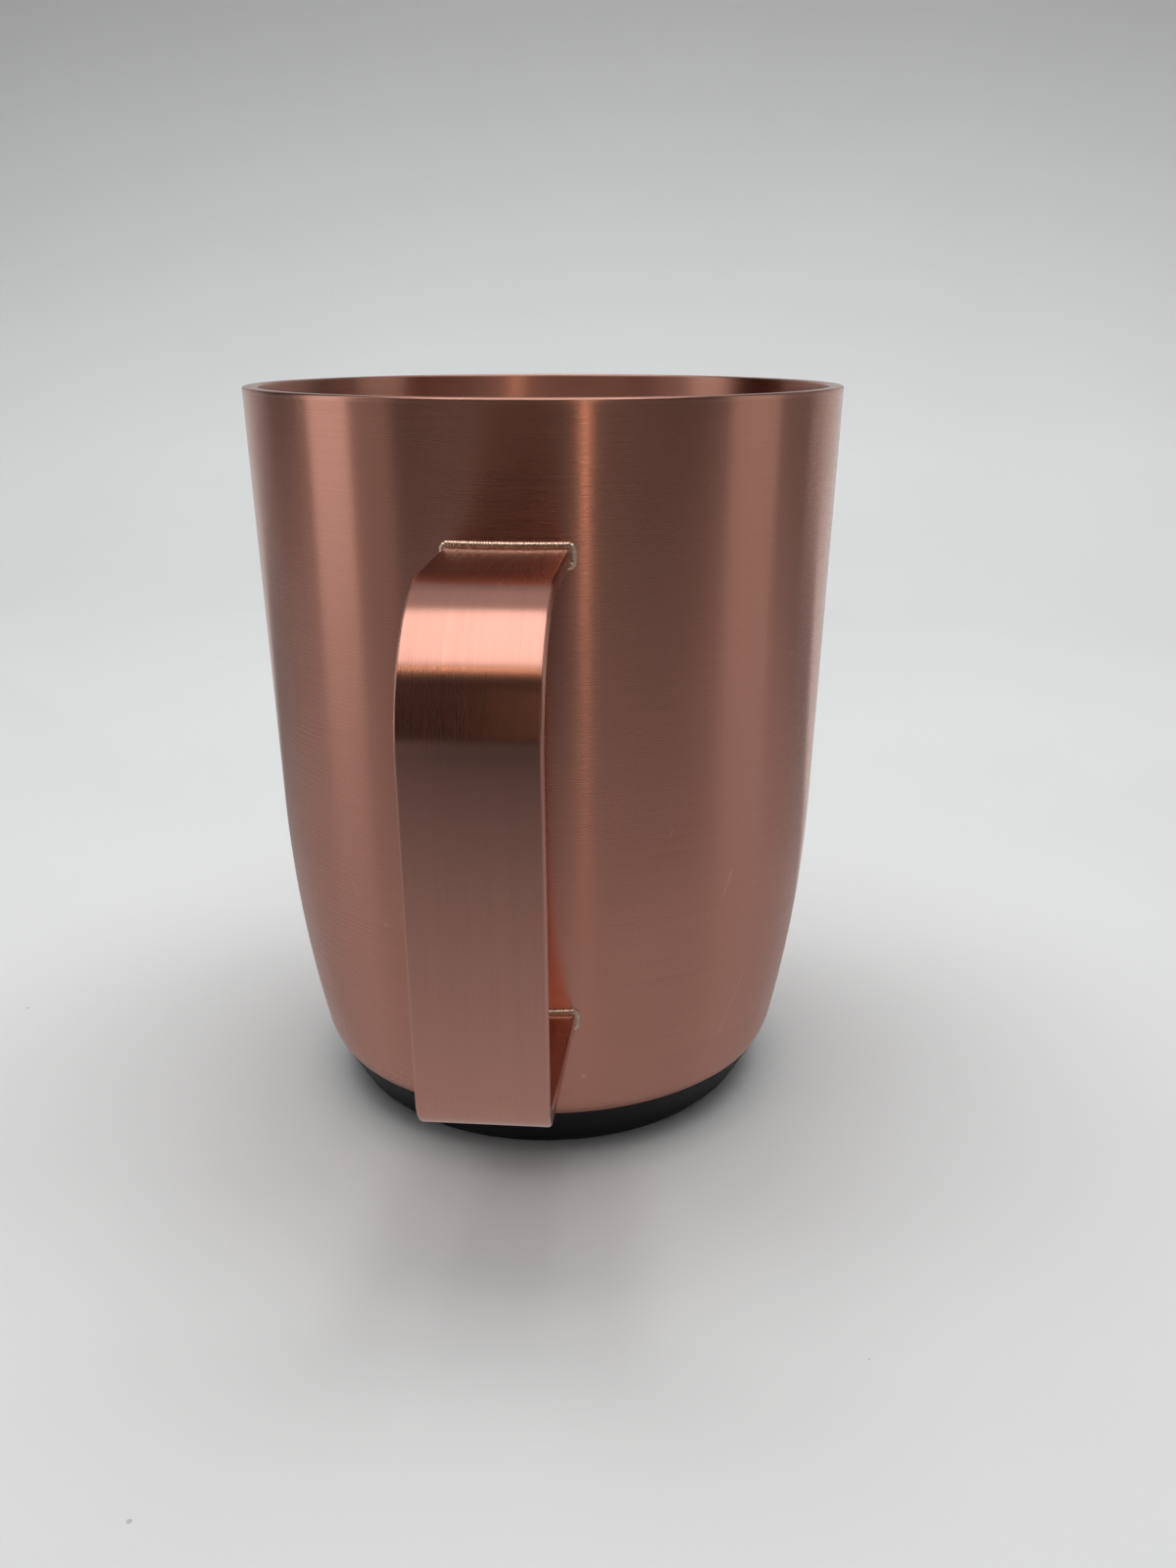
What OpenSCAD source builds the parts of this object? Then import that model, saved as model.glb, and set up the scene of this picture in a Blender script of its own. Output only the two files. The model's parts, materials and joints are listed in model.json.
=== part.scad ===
// Electric milk frother jug: a double-walled metal mug with a strap handle, a magnetically
// driven whisk, and the heater, motor and controls between the vessel floor and the foot.
// The jug's axis is Z, z = 0 is the surface it stands on, and the handle points to -Y.

/* [Jug side] */
// Outer radius at the rim
rim_r = 50; // [44:0.5:60]
// Height of the jug
jug_h = 125; // [112:1:150]
// Inward slope of the straight upper side, in degrees
side_taper = 1.75; // [1:0.05:2.1]
// Height where the side begins to curve in
curve_z = 55; // [46:1:66]
// Radius of the curve of the lower side
curve_r = 236; // [200:1:285]
// Height where the bottom corner begins
corner_z = 12; // [11:0.1:13]
// Radius of the bottom corner
corner_r = 10; // [8.4:0.1:12]
// Height of the seam between the metal side and the foot
seam_z = 8.8; // [7.4:0.1:10.5]
// Wall of the outer shell
shell_t = 0.8; // [0.66:0.01:0.96]

/* [Inner vessel] */
// Wall of the inner vessel
vessel_t = 0.7; // [0.58:0.01:0.84]
// Air gap between the vessel and the shell
air_gap = 3; // [2.5:0.1:3.6]
// Width of the rim, from the mouth to the outside
rim_w = 2.4; // [2:0.1:2.9]
// Depth of the straight mouth that holds a lid
mouth_depth = 13; // [10.8:0.1:15.6]
// Underside of the vessel floor
floor_z = 42; // [41:0.5:50]
// Radius of the vessel's inside corner
floor_fillet = 7; // [5.8:0.1:8.4]
// Radius of the spindle pin
pin_r = 1.5; // [1.25:0.05:1.8]
// Height of the spindle pin above the vessel floor
pin_h = 13.3; // [11.5:0.1:16]

/* [Handle] */
// Width of the strap
strap_w = 18; // [15:0.5:22]
// Thickness of the strap
strap_t = 2.5; // [2:0.1:3]
// Height of the strap's upper outside corner
strap_top_z = 104; // [96:1:110]
// Height of the strap's lower outside corner
strap_low_z = 31; // [25:1:38]
// Reach of the strap from the jug's axis at the upper corner
strap_top_reach = 87.6; // [80:0.1:105]
// Reach of the strap from the jug's axis at the lower corner
strap_low_reach = 82.8; // [76:0.1:100]
// Slope of the upper leg towards its corner, in degrees
strap_top_slope = 1.2; // [0:0.1:3]
// Slope of the lower leg towards the jug, in degrees
strap_low_slope = 5.4; // [0:0.1:7]
// Outside radius of the upper bend
strap_top_bend = 19; // [15:0.5:23]
// Outside radius of the lower bend
strap_low_bend = 6; // [5:0.1:8]
// Width of the weld bead round each end of the strap
weld_w = 0.9; // [0.7:0.1:1.1]

/* [Foot] */
// Outer radius of the foot at its lower edge
foot_r = 37.1; // [34:0.1:38.6]
// Wall and floor of the foot
foot_t = 2.2; // [1.8:0.1:2.6]
// Height of the foot's lower edge above the table
foot_lift = 1; // [0.8:0.05:1.2]
// Middle radius of the rubber foot ring
foot_ring_r = 34; // [32.6:0.1:34.6]
// Radius of the socket that drops onto the power base
socket_r = 13.2; // [11:0.1:14.2]

/* [Button] */
// Height of the button's centre
button_z = 28.5; // [28:0.1:29]
// Radius of the button cap
cap_r = 6.5; // [5.5:0.1:7]
// Travel of the button
travel = 0.8; // [0.67:0.01:0.96]

/* [Drive] */
// Radius of the motor
motor_r = 12; // [10:0.1:12.3]
// Radius of the motor shaft
shaft_r = 1; // [0.83:0.01:1.2]
// Radius of the magnet carrier
carrier_r = 14; // [13.5:0.1:14.8]
// Radius of the circle of magnets
magnet_ring_r = 8.5; // [7.6:0.1:9]
// Radius of one drive magnet
magnet_r = 3.8; // [3.2:0.1:4.4]

/* [Heater] */
// Radius of the heater's ring
heater_r = 27; // [26:0.1:27.4]
// Radius of the heater's tube
heater_tube_r = 3.2; // [2.7:0.1:3.4]

/* [Whisk] */
// Radius of the whisk's ring
whisk_r = 19; // [16:0.5:23]
// Radius of the coil wound round the ring
coil_r = 2.4; // [2:0.1:2.9]
// Number of turns in the coil, a multiple of 3
coil_turns = 30; // [24:3:33]

/* [Hidden] */
$fn = 96;
run_fit = 0.05;      // radial clearance of a piece that turns or slides in a bore
loose = 0.1;         // clearance of a piece that is only placed
side_steps = 20;     // bands of the curved side
corner_steps = 4;    // bands of the bottom corner
corner_gap = 1;      // height of the band between the corner and the side
bend_steps = 16;     // chords of a strap bend

// Side of the jug: a cone, a large arc tangent to it, and a small corner arc tangent to that
curve_start_r = rim_r - (jug_h - curve_z) * tan(side_taper);
curve_cx = curve_start_r - curve_r * cos(side_taper);
curve_cz = curve_z + curve_r * sin(side_taper);
corner_slope = asin((curve_cz - corner_z) / curve_r);
corner_cx = curve_cx + (curve_r - corner_r) * cos(corner_slope);
corner_cz = corner_z + corner_r * sin(corner_slope);
function side_r(z) =
    z >= curve_z ? rim_r - (jug_h - z) * tan(side_taper)
    : z >= corner_z ? curve_cx + sqrt(pow(curve_r, 2) - pow(z - curve_cz, 2))
    : corner_cx + sqrt(pow(corner_r, 2) - pow(z - corner_cz, 2));
function side_points(from_z, to_z, inset, steps) =
    [for (i = [0:steps]) let (z = from_z + (to_z - from_z) * i / steps) [side_r(z) - inset, z]];
function curved_side(inset) = concat(          // from the seam up to the straight part
    side_points(seam_z, corner_z, inset, corner_steps),
    side_points(corner_z + corner_gap, curve_z, inset, side_steps));

// Vessel
lip_t = 0.8;
mouth_r = rim_r - rim_w;
ledge_z = jug_h - mouth_depth;
ledge_drop = 2.6;
vessel_in = shell_t + air_gap;                // how far the vessel's outside lies within the side
wall_low_z = floor_z + floor_fillet + vessel_t;
vessel_floor_r = side_r(wall_low_z) - vessel_in - vessel_t - floor_fillet;
floor_top = floor_z + vessel_t;

// Foot
seam_r = side_r(seam_z);
foot_floor_z = foot_lift + foot_t;
foot_edge = 0.6;                              // chamfer of the foot's lower edge
spigot_gap = 0.9;                             // room for the seal between the spigot and the shell
spigot_r = seam_r - shell_t - spigot_gap;
spigot_top = seam_z + 6;
seal_r = 0.8;
seal_z = seam_z + 2.6;
foot_ring_w = 3;
foot_groove = 0.4;
screw_ring_r = 28.8;
screw_angles = [210, 330, 90];
screw_r = 1.4;
screw_head_r = 2.8;
screw_head_z = 1.4;
screw_seat_z = 3.6;
screw_slot = [3.4, 0.7, 1.1];
screw_skin = 1.2;                             // chassis left above a screw's hole
thread_fit = 0.02;                            // clearance of a thread drawn as a plain pin
boss_r = 3.5;

// Levels between the foot and the vessel floor
board_z = 15;
board_t = 1.6;
board_r = 36;
board_top = board_z + board_t;
chassis_z = 20;
chassis_t = 2.5;
chassis_top = chassis_z + chassis_t;
chassis_hole_r = 28.6;
bracket_t = 1.5;
bracket_z = 31.5;
bracket_top = bracket_z + bracket_t;
bracket_r = 24;
stud_ring_r = 33.5;
stud_angles = [30, 150, 270];
stud_r = 1.5;
post_r = 3.4;
spacer_r = 2.6;
nut_h = 2.4;
nut_r = 3.2;
stud_low_z = chassis_z - nut_h - 1;
bracket_arm_w = 8;
spreader_t = 2;
spreader_z = floor_z - spreader_t;
spreader_r = 30.6;
spreader_hole_r = carrier_r + 1.5;

// Heater: a ring with a gap, where the cut-out sits
heater_z = spreader_z - heater_tube_r;
heater_gap_mid = 330;
heater_gap = 70;
heater_arc = 360 - heater_gap;
heater_lead_r = 1.1;
lead_inset = 4;                               // degrees from each end of the ring to its lead
lead_angles = [heater_gap_mid + heater_gap / 2 + lead_inset, heater_gap_mid - heater_gap / 2 - lead_inset];
lead_low_z = bracket_z - 3;
cutout_r = 5.4;
cutout_h = 4;
cutout_ring_r = heater_r - 1.6;
cutout_tab = [0.8, 3, 2];
cutout_tab_x = 3;
sensor_r = 2.8;
sensor_ring_r = 19.6;
sensor_angle = 200;
sensor_h = 6;
sensor_head_h = 4;
sensor_tip_r = sensor_r - 1;
sensor_spring_turns = 7;
spring_wire = 0.35;

// Drive
shaft_low_z = board_top + 0.5;
motor_z = board_top + 1;
motor_top = bracket_z;
motor_boss_r = 3.2;
motor_boss_h = 1.6;
carrier_z = bracket_top + 1.6;
carrier_h = floor_z - 1.2 - carrier_z;
carrier_top = carrier_z + carrier_h;
magnet_depth = 3;
magnet_stand = 0.4;
magnet_angles = [45, 135, 225, 315];

// Parts on the control board: blocks as [place, size], cans as [angle, distance, radius, height]
board_blocks = [[[-22, -6.5], [9, 13, 9]], [[13.5, 8], [8, 5, 6]],
                [[-7, 14.5], [10, 6, 4]], [[14.5, -5], [5, 7, 1.4]]];
board_cans = [[312, 19.4, 4.2, 11], [250, 19, 3.2, 8]];

// Wires
lead_wire_r = 0.9;
motor_wire_r = 0.5;
motor_wire_angles = [60, 68];
button_wire_r = 0.6;
button_wire_x = 5.5;
button_wire_y = chassis_hole_r - 1.6;         // where its wires come up, inside the chassis
wire_bend = 3;

// Socket
socket_t = 2;
socket_mouth_z = foot_lift - 0.4;
socket_top = 13.6;
socket_bore = 6;
socket_step_r = socket_r - 1.3;
socket_roof_z = socket_top - 2;
socket_flange_r = socket_r + socket_t + 2.6;
socket_flange_t = 1.8;
contact_radii = [5.4, 9.2];
contact_t = 1;
contact_drop = 4;
centre_pin_r = 1.3;
contact_tail = [0.8, 1.6];
contact_tail_rise = 0.6;
contact_slot = [1.2, 2];
board_slot = 2.4;

// Button: every distance is along Y from the jug's axis
bezel_stand = 2;
bezel_face_y = side_r(button_z) + bezel_stand;
bezel_flange_w = 3;
bezel_barrel_w = 1.4;
bezel_r = cap_r + bezel_flange_w;
bezel_barrel_r = cap_r + bezel_barrel_w;
bezel_floor_t = 2;
cap_stand = 0.4;
cap_face_y = bezel_face_y + cap_stand;
cap_t = 3.4;
cap_back_y = cap_face_y - cap_t;
spring_len = 2.6;
bezel_floor_y = cap_back_y - spring_len;
bezel_back_y = bezel_floor_y - bezel_floor_t;
stem_r = 2;
switch_gap = 0.6;
switch_face_y = bezel_back_y - switch_gap;
switch_h = 3;
switch_size = 6;
plunger_r = 1.6;
plunger_len = 2.4;
plunger_end_y = switch_face_y + travel + 0.3;
button_board_y = switch_face_y - switch_h;
button_board_t = 1.4;
button_board_w = 15;
button_board_top = floor_z - 9;
chassis_r = button_board_y + 1.85;            // the chassis reaches just past the button board

// Whisk
whisk_rise = 0.6;
whisk_z = floor_top + whisk_rise;
hub_r = carrier_r - 1;
hub_t = 3.9;
hub_top = whisk_z + hub_t;
hub_floor = 0.7;
whisk_cap_t = 1.2;
column_r = 3.6;
column_top = floor_top + pin_h + 2;
column_bore_top = floor_top + pin_h + 0.5;
pin_fit = 0.08;                               // radial play of the hub on the spindle pin
whisk_bore_r = pin_r + pin_fit;
ring_rise = 5;
ring_z = hub_top + ring_rise;
ring_wire_r = 0.9;
coil_wire_r = 0.35;

// A ring of copies, turned about the jug's axis
module around(angles, radius) {
    for (a = angles) rotate([0, 0, a]) translate([radius, 0, 0]) children();
}

// A plain disc or pin standing on height z
module disc(radius, z, height) {
    translate([0, 0, z]) cylinder(r = radius, h = height);
}

// A tube standing on height z
module tube(outer, inner, z, height) {
    translate([0, 0, z]) difference() {
        cylinder(r = outer, h = height);
        translate([0, 0, -1]) cylinder(r = inner, h = height + 2);
    }
}

// A cylinder along +Y from y0 to y1, at the button's height
module y_pin(radius, y0, y1) {
    translate([0, y0, button_z]) rotate([-90, 0, 0]) cylinder(r = radius, h = y1 - y0);
}

// Everything inside the outer face of the side, for trimming what meets it
module side_solid() {
    rotate_extrude() polygon(concat(
        [[0, jug_h], [0, seam_z]],
        curved_side(0),
        [[rim_r, jug_h]]));
}

module outer_shell() {
    top = jug_h - lip_t;
    inner = curved_side(shell_t);
    color([0.62, 0.41, 0.35]) difference() {
        rotate_extrude() polygon(concat(
            curved_side(0),
            [[side_r(top), top], [side_r(top) - shell_t, top]],
            [for (i = [len(inner) - 1:-1:0]) inner[i]]));
        y_pin(bezel_barrel_r + loose, 0, rim_r + 5);
    }
}

module inner_vessel() {
    outer_fillet = floor_fillet + vessel_t;
    wall_top = ledge_z - ledge_drop;
    color([0.72, 0.50, 0.43]) rotate_extrude() polygon(concat(
        [[0, floor_z], [vessel_floor_r, floor_z]],
        [for (a = [10:10:80]) [vessel_floor_r + outer_fillet * sin(a), wall_low_z - outer_fillet * cos(a)]],
        side_points(wall_low_z, wall_top, vessel_in, side_steps),
        [[mouth_r + vessel_t, ledge_z], [mouth_r + vessel_t, jug_h - lip_t]],
        [[side_r(jug_h - lip_t), jug_h - lip_t], [rim_r, jug_h], [mouth_r, jug_h], [mouth_r, ledge_z]],
        side_points(wall_top, wall_low_z, vessel_in + vessel_t, side_steps),
        [for (a = [80:-10:10]) [vessel_floor_r + floor_fillet * sin(a), wall_low_z - floor_fillet * cos(a)]],
        [[vessel_floor_r, floor_top], [0, floor_top]]));
}

module spindle_pin() {
    color([0.75, 0.76, 0.78]) {
        disc(pin_r, floor_top, pin_h - pin_r);
        translate([0, 0, floor_top + pin_h - pin_r]) intersection() {
            sphere(r = pin_r);
            cylinder(r = pin_r, h = pin_r);
        }
    }
}

// Strap: points of a bend between two straight runs, given by its corner and their directions
function bend(corner, from_dir, to_dir, radius) =
    let (turn = acos(from_dir * to_dir),
         reach = radius * tan(turn / 2),
         inward = (to_dir - from_dir) / norm(to_dir - from_dir),
         centre = corner + inward * radius / cos(turn / 2),
         start = corner - from_dir * reach - centre,
         a0 = atan2(start[1], start[0]))
    [for (i = [0:bend_steps]) centre + radius * [cos(a0 - turn * i / bend_steps), sin(a0 - turn * i / bend_steps)]];

strap_root = side_r(curve_z) - 8;              // where the legs start, inside the side
strap_top = [strap_top_reach, strap_top_z];
strap_low = [strap_low_reach, strap_low_z];
top_dir = [cos(strap_top_slope), -sin(strap_top_slope)];
grip_dir = (strap_low - strap_top) / norm(strap_low - strap_top);
low_dir = [-cos(strap_low_slope), -sin(strap_low_slope)];
top_start = strap_top - top_dir * (strap_top_reach - strap_root) / cos(strap_top_slope);
low_end = strap_low + low_dir * (strap_low_reach - strap_root) / cos(strap_low_slope);
function corner_in(corner, d1, d2) =           // the same corner on the strap's inner face
    corner + (d2 - d1) / norm(d2 - d1) * strap_t / cos(acos(d1 * d2) / 2);
function right_of(d) = [d[1], -d[0]];

module strap_side_view(spread) {
    outer = concat([top_start + right_of(top_dir) * -spread],
        bend(strap_top + (top_dir - grip_dir) * spread, top_dir, grip_dir, strap_top_bend + spread),
        bend(strap_low + (grip_dir - low_dir) * spread, grip_dir, low_dir, strap_low_bend + spread),
        [low_end - right_of(low_dir) * spread]);
    inner_top = corner_in(strap_top, top_dir, grip_dir);
    inner_low = corner_in(strap_low, grip_dir, low_dir);
    inner = concat([top_start + right_of(top_dir) * (strap_t + spread)],
        bend(inner_top - (top_dir - grip_dir) * spread, top_dir, grip_dir, strap_top_bend - strap_t - spread),
        bend(inner_low - (grip_dir - low_dir) * spread, grip_dir, low_dir, strap_low_bend - strap_t - spread),
        [low_end + right_of(low_dir) * (strap_t + spread)]);
    polygon(concat(outer, [for (i = [len(inner) - 1:-1:0]) inner[i]]));
}

// A strap of a given extra size all round, standing off the side towards -Y
module strap_body(spread) {
    rotate([0, 0, -90]) translate([0, strap_w / 2 + spread, 0]) rotate([90, 0, 0])
        linear_extrude(height = strap_w + 2 * spread) strap_side_view(spread);
}

module handle_strap() {
    color([0.66, 0.43, 0.37]) difference() {
        strap_body(0);
        side_solid();
    }
}

module handle_welds() {
    color([0.78, 0.62, 0.55]) difference() {
        intersection() {
            strap_body(weld_w);
            rotate_extrude() polygon(concat(
                [[0, jug_h], [0, seam_z]],
                curved_side(-weld_w),
                [[rim_r + weld_w, jug_h]]));
        }
        side_solid();
        strap_body(0);
    }
}

module base_cover() {
    color([0.07, 0.06, 0.07]) difference() {
        union() {
            rotate_extrude() polygon([
                [0, foot_lift], [foot_r - foot_edge, foot_lift], [foot_r, foot_lift + foot_edge], [seam_r, seam_z],
                [spigot_r, seam_z], [spigot_r, spigot_top], [spigot_r - foot_t, spigot_top],
                [spigot_r - foot_t, seam_z - 1], [foot_r - foot_t, foot_floor_z], [0, foot_floor_z]]);
            around(screw_angles, screw_ring_r) disc(boss_r, foot_floor_z, board_z - foot_floor_z);
        }
        disc(socket_r + socket_t + run_fit, 0, foot_floor_z + 1);
        around(screw_angles, screw_ring_r) {
            disc(screw_head_r + loose, 0, screw_seat_z);
            disc(screw_r + loose, 0, board_z + 1);
        }
        tube(foot_ring_r + foot_ring_w / 2, foot_ring_r - foot_ring_w / 2, foot_lift - 1, foot_groove + 1);
    }
}

module base_seal() {
    color([0.2, 0.2, 0.21]) translate([0, 0, seal_z]) rotate_extrude()
        translate([spigot_r + seal_r + run_fit, 0]) circle(r = seal_r, $fn = 32);
}

module foot_ring() {
    color([0.13, 0.13, 0.14])
        tube(foot_ring_r + foot_ring_w / 2, foot_ring_r - foot_ring_w / 2, 0, foot_lift + foot_groove);
}

module base_screws() {
    color([0.6, 0.61, 0.63]) around(screw_angles, screw_ring_r) difference() {
        union() {
            disc(screw_head_r, screw_head_z, screw_seat_z - screw_head_z);
            disc(screw_r, screw_seat_z, chassis_top - screw_skin - 0.3 - screw_seat_z);
        }
        for (a = [0, 90]) rotate([0, 0, a]) translate([-screw_slot[0] / 2, -screw_slot[1] / 2, 0])
            cube([screw_slot[0], screw_slot[1], screw_head_z + screw_slot[2]]);
    }
}

module chassis() {
    color([0.85, 0.85, 0.82]) difference() {
        union() {
            tube(chassis_r, chassis_hole_r, chassis_z, chassis_t);
            around(screw_angles, screw_ring_r) disc(boss_r, board_top, chassis_top - board_top);
            around(stud_angles, stud_ring_r) disc(post_r, chassis_top, bracket_z - chassis_top);
        }
        around(screw_angles, screw_ring_r) disc(screw_r + thread_fit, board_z, chassis_top - screw_skin - board_z);
        around(stud_angles, stud_ring_r) disc(stud_r + loose, board_z, bracket_z);
    }
}

module vessel_studs() {
    color([0.6, 0.61, 0.63]) around(stud_angles, stud_ring_r)
        disc(stud_r, stud_low_z, floor_z - stud_low_z);
}

module stud_spacers() {
    color([0.7, 0.7, 0.72]) around(stud_angles, stud_ring_r)
        tube(spacer_r, stud_r + loose, bracket_top, floor_z - bracket_top);
}

module stud_nuts() {
    color([0.65, 0.66, 0.68]) around(stud_angles, stud_ring_r) difference() {
        translate([0, 0, chassis_z - nut_h]) cylinder(r = nut_r, h = nut_h, $fn = 6);
        disc(stud_r + thread_fit, stud_low_z, nut_h + 2);
    }
}

module heat_spreader() {
    color([0.8, 0.81, 0.83]) difference() {
        tube(spreader_r, spreader_hole_r, spreader_z, spreader_t);
        around([sensor_angle], sensor_ring_r) disc(sensor_r + loose, spreader_z - 1, spreader_t + 2);
    }
}

module heater_element() {
    start = heater_gap_mid + heater_gap / 2;
    color([0.45, 0.44, 0.43]) {
        rotate([0, 0, start]) rotate_extrude(angle = heater_arc)
            translate([heater_r, heater_z]) circle(r = heater_tube_r, $fn = 48);
        around(lead_angles, heater_r) disc(heater_lead_r, lead_low_z, heater_z - lead_low_z);
    }
}

module thermal_cutout() {
    color([0.88, 0.86, 0.8]) around([heater_gap_mid], cutout_ring_r) {
        disc(cutout_r, spreader_z - cutout_h, cutout_h);
        for (x = [-cutout_tab_x, cutout_tab_x])
            translate([x - cutout_tab[0] / 2, -cutout_tab[1] / 2, spreader_z - cutout_h - cutout_tab[2]])
                cube(cutout_tab);
    }
}

module temperature_sensor() {
    color([0.78, 0.65, 0.35]) around([sensor_angle], sensor_ring_r) {
        disc(sensor_r, floor_z - sensor_head_h, sensor_head_h);
        disc(sensor_tip_r, floor_z - sensor_h, sensor_h - sensor_head_h);
    }
}

module sensor_spring() {
    low = bracket_top + spring_wire;
    high = floor_z - sensor_head_h - spring_wire;
    last = sensor_spring_turns - 1;
    color([0.7, 0.7, 0.72]) around([sensor_angle], sensor_ring_r)
        for (i = [0:last]) translate([0, 0, low + (high - low) * i / last]) rotate_extrude()
            translate([sensor_r - spring_wire, 0]) circle(r = spring_wire, $fn = 16);
}

module motor_bracket() {
    color([0.7, 0.71, 0.73]) difference() {
        union() {
            disc(bracket_r, bracket_z, bracket_t);
            around(stud_angles, 0) translate([0, -bracket_arm_w / 2, bracket_z])
                cube([stud_ring_r + post_r, bracket_arm_w, bracket_t]);
        }
        disc(motor_boss_r + loose, bracket_z - 1, bracket_t + 2);
        around(stud_angles, stud_ring_r) disc(stud_r + loose, bracket_z - 1, bracket_t + 2);
    }
}

module motor_body() {
    color([0.55, 0.56, 0.58]) difference() {
        union() {
            disc(motor_r, motor_z, motor_top - motor_z);
            disc(motor_boss_r, motor_top, motor_boss_h);
        }
        disc(shaft_r + run_fit, motor_z - 1, motor_top);
    }
}

module motor_shaft() {
    color([0.8, 0.8, 0.82]) disc(shaft_r, shaft_low_z, carrier_top - shaft_low_z);
}

module magnet_carrier() {
    color([0.9, 0.9, 0.88]) difference() {
        disc(carrier_r, carrier_z, carrier_h);
        disc(shaft_r, carrier_z - 1, carrier_h + 2);
        around(magnet_angles, magnet_ring_r) disc(magnet_r + run_fit, carrier_top - magnet_depth, magnet_depth + 1);
    }
}

module drive_magnets() {
    color([0.5, 0.5, 0.54]) around(magnet_angles, magnet_ring_r)
        disc(magnet_r, carrier_top - magnet_depth, magnet_depth + magnet_stand);
}

module control_board() {
    color([0.1, 0.35, 0.2]) difference() {
        disc(board_r, board_z, board_t);
        around(screw_angles, screw_ring_r) disc(screw_r + loose, board_z - 1, board_t + 2);
        around(stud_angles, stud_ring_r) disc(post_r + 1, board_z - 1, board_t + 2);
        for (r = contact_radii) translate([-r - board_slot / 2, -board_slot / 2, board_z - 1])
            cube([board_slot, board_slot, board_t + 2]);
    }
}

module board_components() {
    color([0.15, 0.15, 0.17]) {
        for (part = board_blocks) translate([part[0][0], part[0][1], board_top]) cube(part[1]);
        for (part = board_cans) around([part[0]], part[1]) disc(part[2], board_top, part[3]);
    }
}

module inlet_socket() {
    body_r = socket_r + socket_t;
    color([0.16, 0.16, 0.17]) difference() {
        union() {
            disc(body_r, socket_mouth_z, socket_top - socket_mouth_z);
            disc(socket_flange_r, foot_floor_z, socket_flange_t);
        }
        disc(socket_r, socket_mouth_z - 1, socket_bore + 1);
        disc(socket_step_r, foot_lift, socket_roof_z - foot_lift);
        for (r = contact_radii) translate([-r - contact_slot[0] / 2, -contact_slot[1] / 2, socket_roof_z - 1])
            cube([contact_slot[0], contact_slot[1], socket_t + 2]);
    }
}

module contact_rings() {
    color([0.8, 0.62, 0.3]) {
        for (r = contact_radii) {
            tube(r + contact_t / 2, r - contact_t / 2, socket_roof_z - contact_drop, contact_drop);
            translate([-r - contact_tail[0] / 2, -contact_tail[1] / 2, socket_roof_z - 1])
                cube([contact_tail[0], contact_tail[1], board_top + contact_tail_rise - socket_roof_z + 1]);
        }
        disc(centre_pin_r, socket_roof_z - contact_drop, contact_drop);
    }
}

module wiring() {
    high = chassis_top + 2;
    board_back_y = button_board_y - button_board_t;
    color([0.75, 0.2, 0.15]) {
        around(lead_angles, heater_r) disc(lead_wire_r, board_top, lead_low_z - board_top);
        around(motor_wire_angles, motor_r - 2) disc(motor_wire_r, board_top, motor_z - board_top);
        for (x = [-button_wire_x, button_wire_x]) translate([x, button_wire_y, 0]) {
            disc(button_wire_r, board_top, high - wire_bend - board_top);
            translate([0, wire_bend, high]) rotate([-90, 0, 0])
                cylinder(r = button_wire_r, h = board_back_y - button_wire_y - wire_bend);
            translate([0, wire_bend, high - wire_bend]) rotate([90, 0, -90]) rotate_extrude(angle = 90)
                translate([wire_bend, 0]) circle(r = button_wire_r, $fn = 24);
        }
    }
}

module button_bezel() {
    color([0.72, 0.5, 0.43]) difference() {
        union() {
            y_pin(bezel_barrel_r, bezel_back_y, bezel_face_y);
            difference() {
                y_pin(bezel_r, bezel_back_y, bezel_face_y);
                side_solid();
            }
        }
        y_pin(cap_r + run_fit, bezel_floor_y, bezel_face_y + 1);
        y_pin(stem_r + run_fit, bezel_back_y - 1, bezel_floor_y + 1);
    }
}

module button_cap() {
    color([0.09, 0.09, 0.1]) {
        y_pin(cap_r, cap_back_y, cap_face_y);
        y_pin(stem_r, plunger_end_y, cap_back_y);
    }
}

module button_spring() {
    low = bezel_floor_y + spring_wire;
    high = cap_back_y - spring_wire;
    color([0.7, 0.7, 0.72]) for (i = [0:2])
        translate([0, low + (high - low) * i / 2, button_z]) rotate([-90, 0, 0]) rotate_extrude()
            translate([(cap_r + stem_r) / 2, 0]) circle(r = spring_wire, $fn = 16);
}

module switch_body() {
    color([0.2, 0.2, 0.22]) difference() {
        translate([-switch_size / 2, button_board_y, button_z - switch_size / 2])
            cube([switch_size, switch_h, switch_size]);
        y_pin(plunger_r + run_fit, plunger_end_y - plunger_len - travel - 0.1, switch_face_y + 1);
    }
}

module switch_plunger() {
    color([0.85, 0.85, 0.82]) y_pin(plunger_r, plunger_end_y - plunger_len, plunger_end_y);
}

module button_board() {
    color([0.1, 0.35, 0.2]) translate([-button_board_w / 2, button_board_y - button_board_t, chassis_top])
        cube([button_board_w, button_board_t, button_board_top - chassis_top]);
}

module whisk_hub() {
    color([0.12, 0.12, 0.13]) difference() {
        union() {
            disc(hub_r, whisk_z, hub_t);
            disc(column_r, hub_top, column_top - hub_top);
        }
        disc(whisk_bore_r, whisk_z - 1, column_bore_top - whisk_z + 1);
        around(magnet_angles, magnet_ring_r)
            disc(magnet_r + run_fit, whisk_z + hub_floor, hub_t);
    }
}

module whisk_cap() {
    color([0.14, 0.14, 0.15]) tube(hub_r, column_r + run_fit, hub_top, whisk_cap_t);
}

module whisk_magnets() {
    color([0.5, 0.5, 0.54]) around(magnet_angles, magnet_ring_r)
        disc(magnet_r, whisk_z + hub_floor, hub_t - hub_floor);
}

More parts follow.
